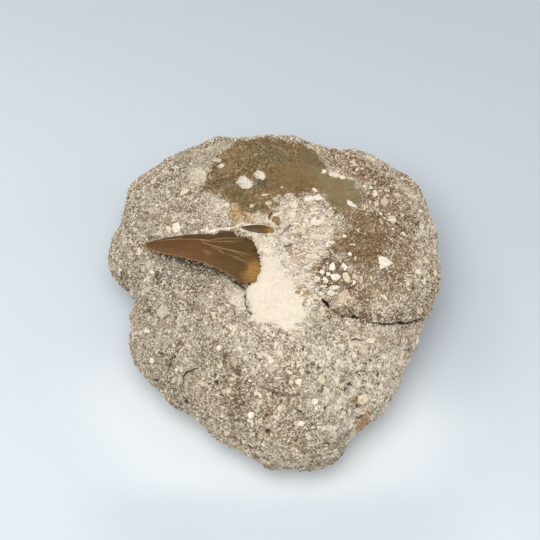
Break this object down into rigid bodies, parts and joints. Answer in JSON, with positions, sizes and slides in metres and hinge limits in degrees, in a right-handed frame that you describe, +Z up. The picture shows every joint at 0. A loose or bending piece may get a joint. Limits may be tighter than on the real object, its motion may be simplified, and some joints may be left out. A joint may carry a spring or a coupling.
{
  "type": "fossil shark tooth",
  "caption": "Fossil shark tooth with its side cusp and pale root, still bedded in a loose rounded lump of pale shelly sandstone that rests on a small flat spot.",
  "frame": {"origin": "under the middle of the stone's outline, on the surface it rests on", "axes": "+Z up out of the bedded side, +Y to the stone's back, the tooth's tip points towards -X"},
  "size_m": [0.1354, 0.1438, 0.05],
  "materials": {
    "tooth": "smooth brown enamel with a dull shine, over a chalky cream root",
    "stone": "rough dry grain with white shell chips and brown stains"
  },
  "bodies": {
    "root": {"shark_tooth": "tooth", "matrix_stone": "stone"}
  },
  "joints": []
}
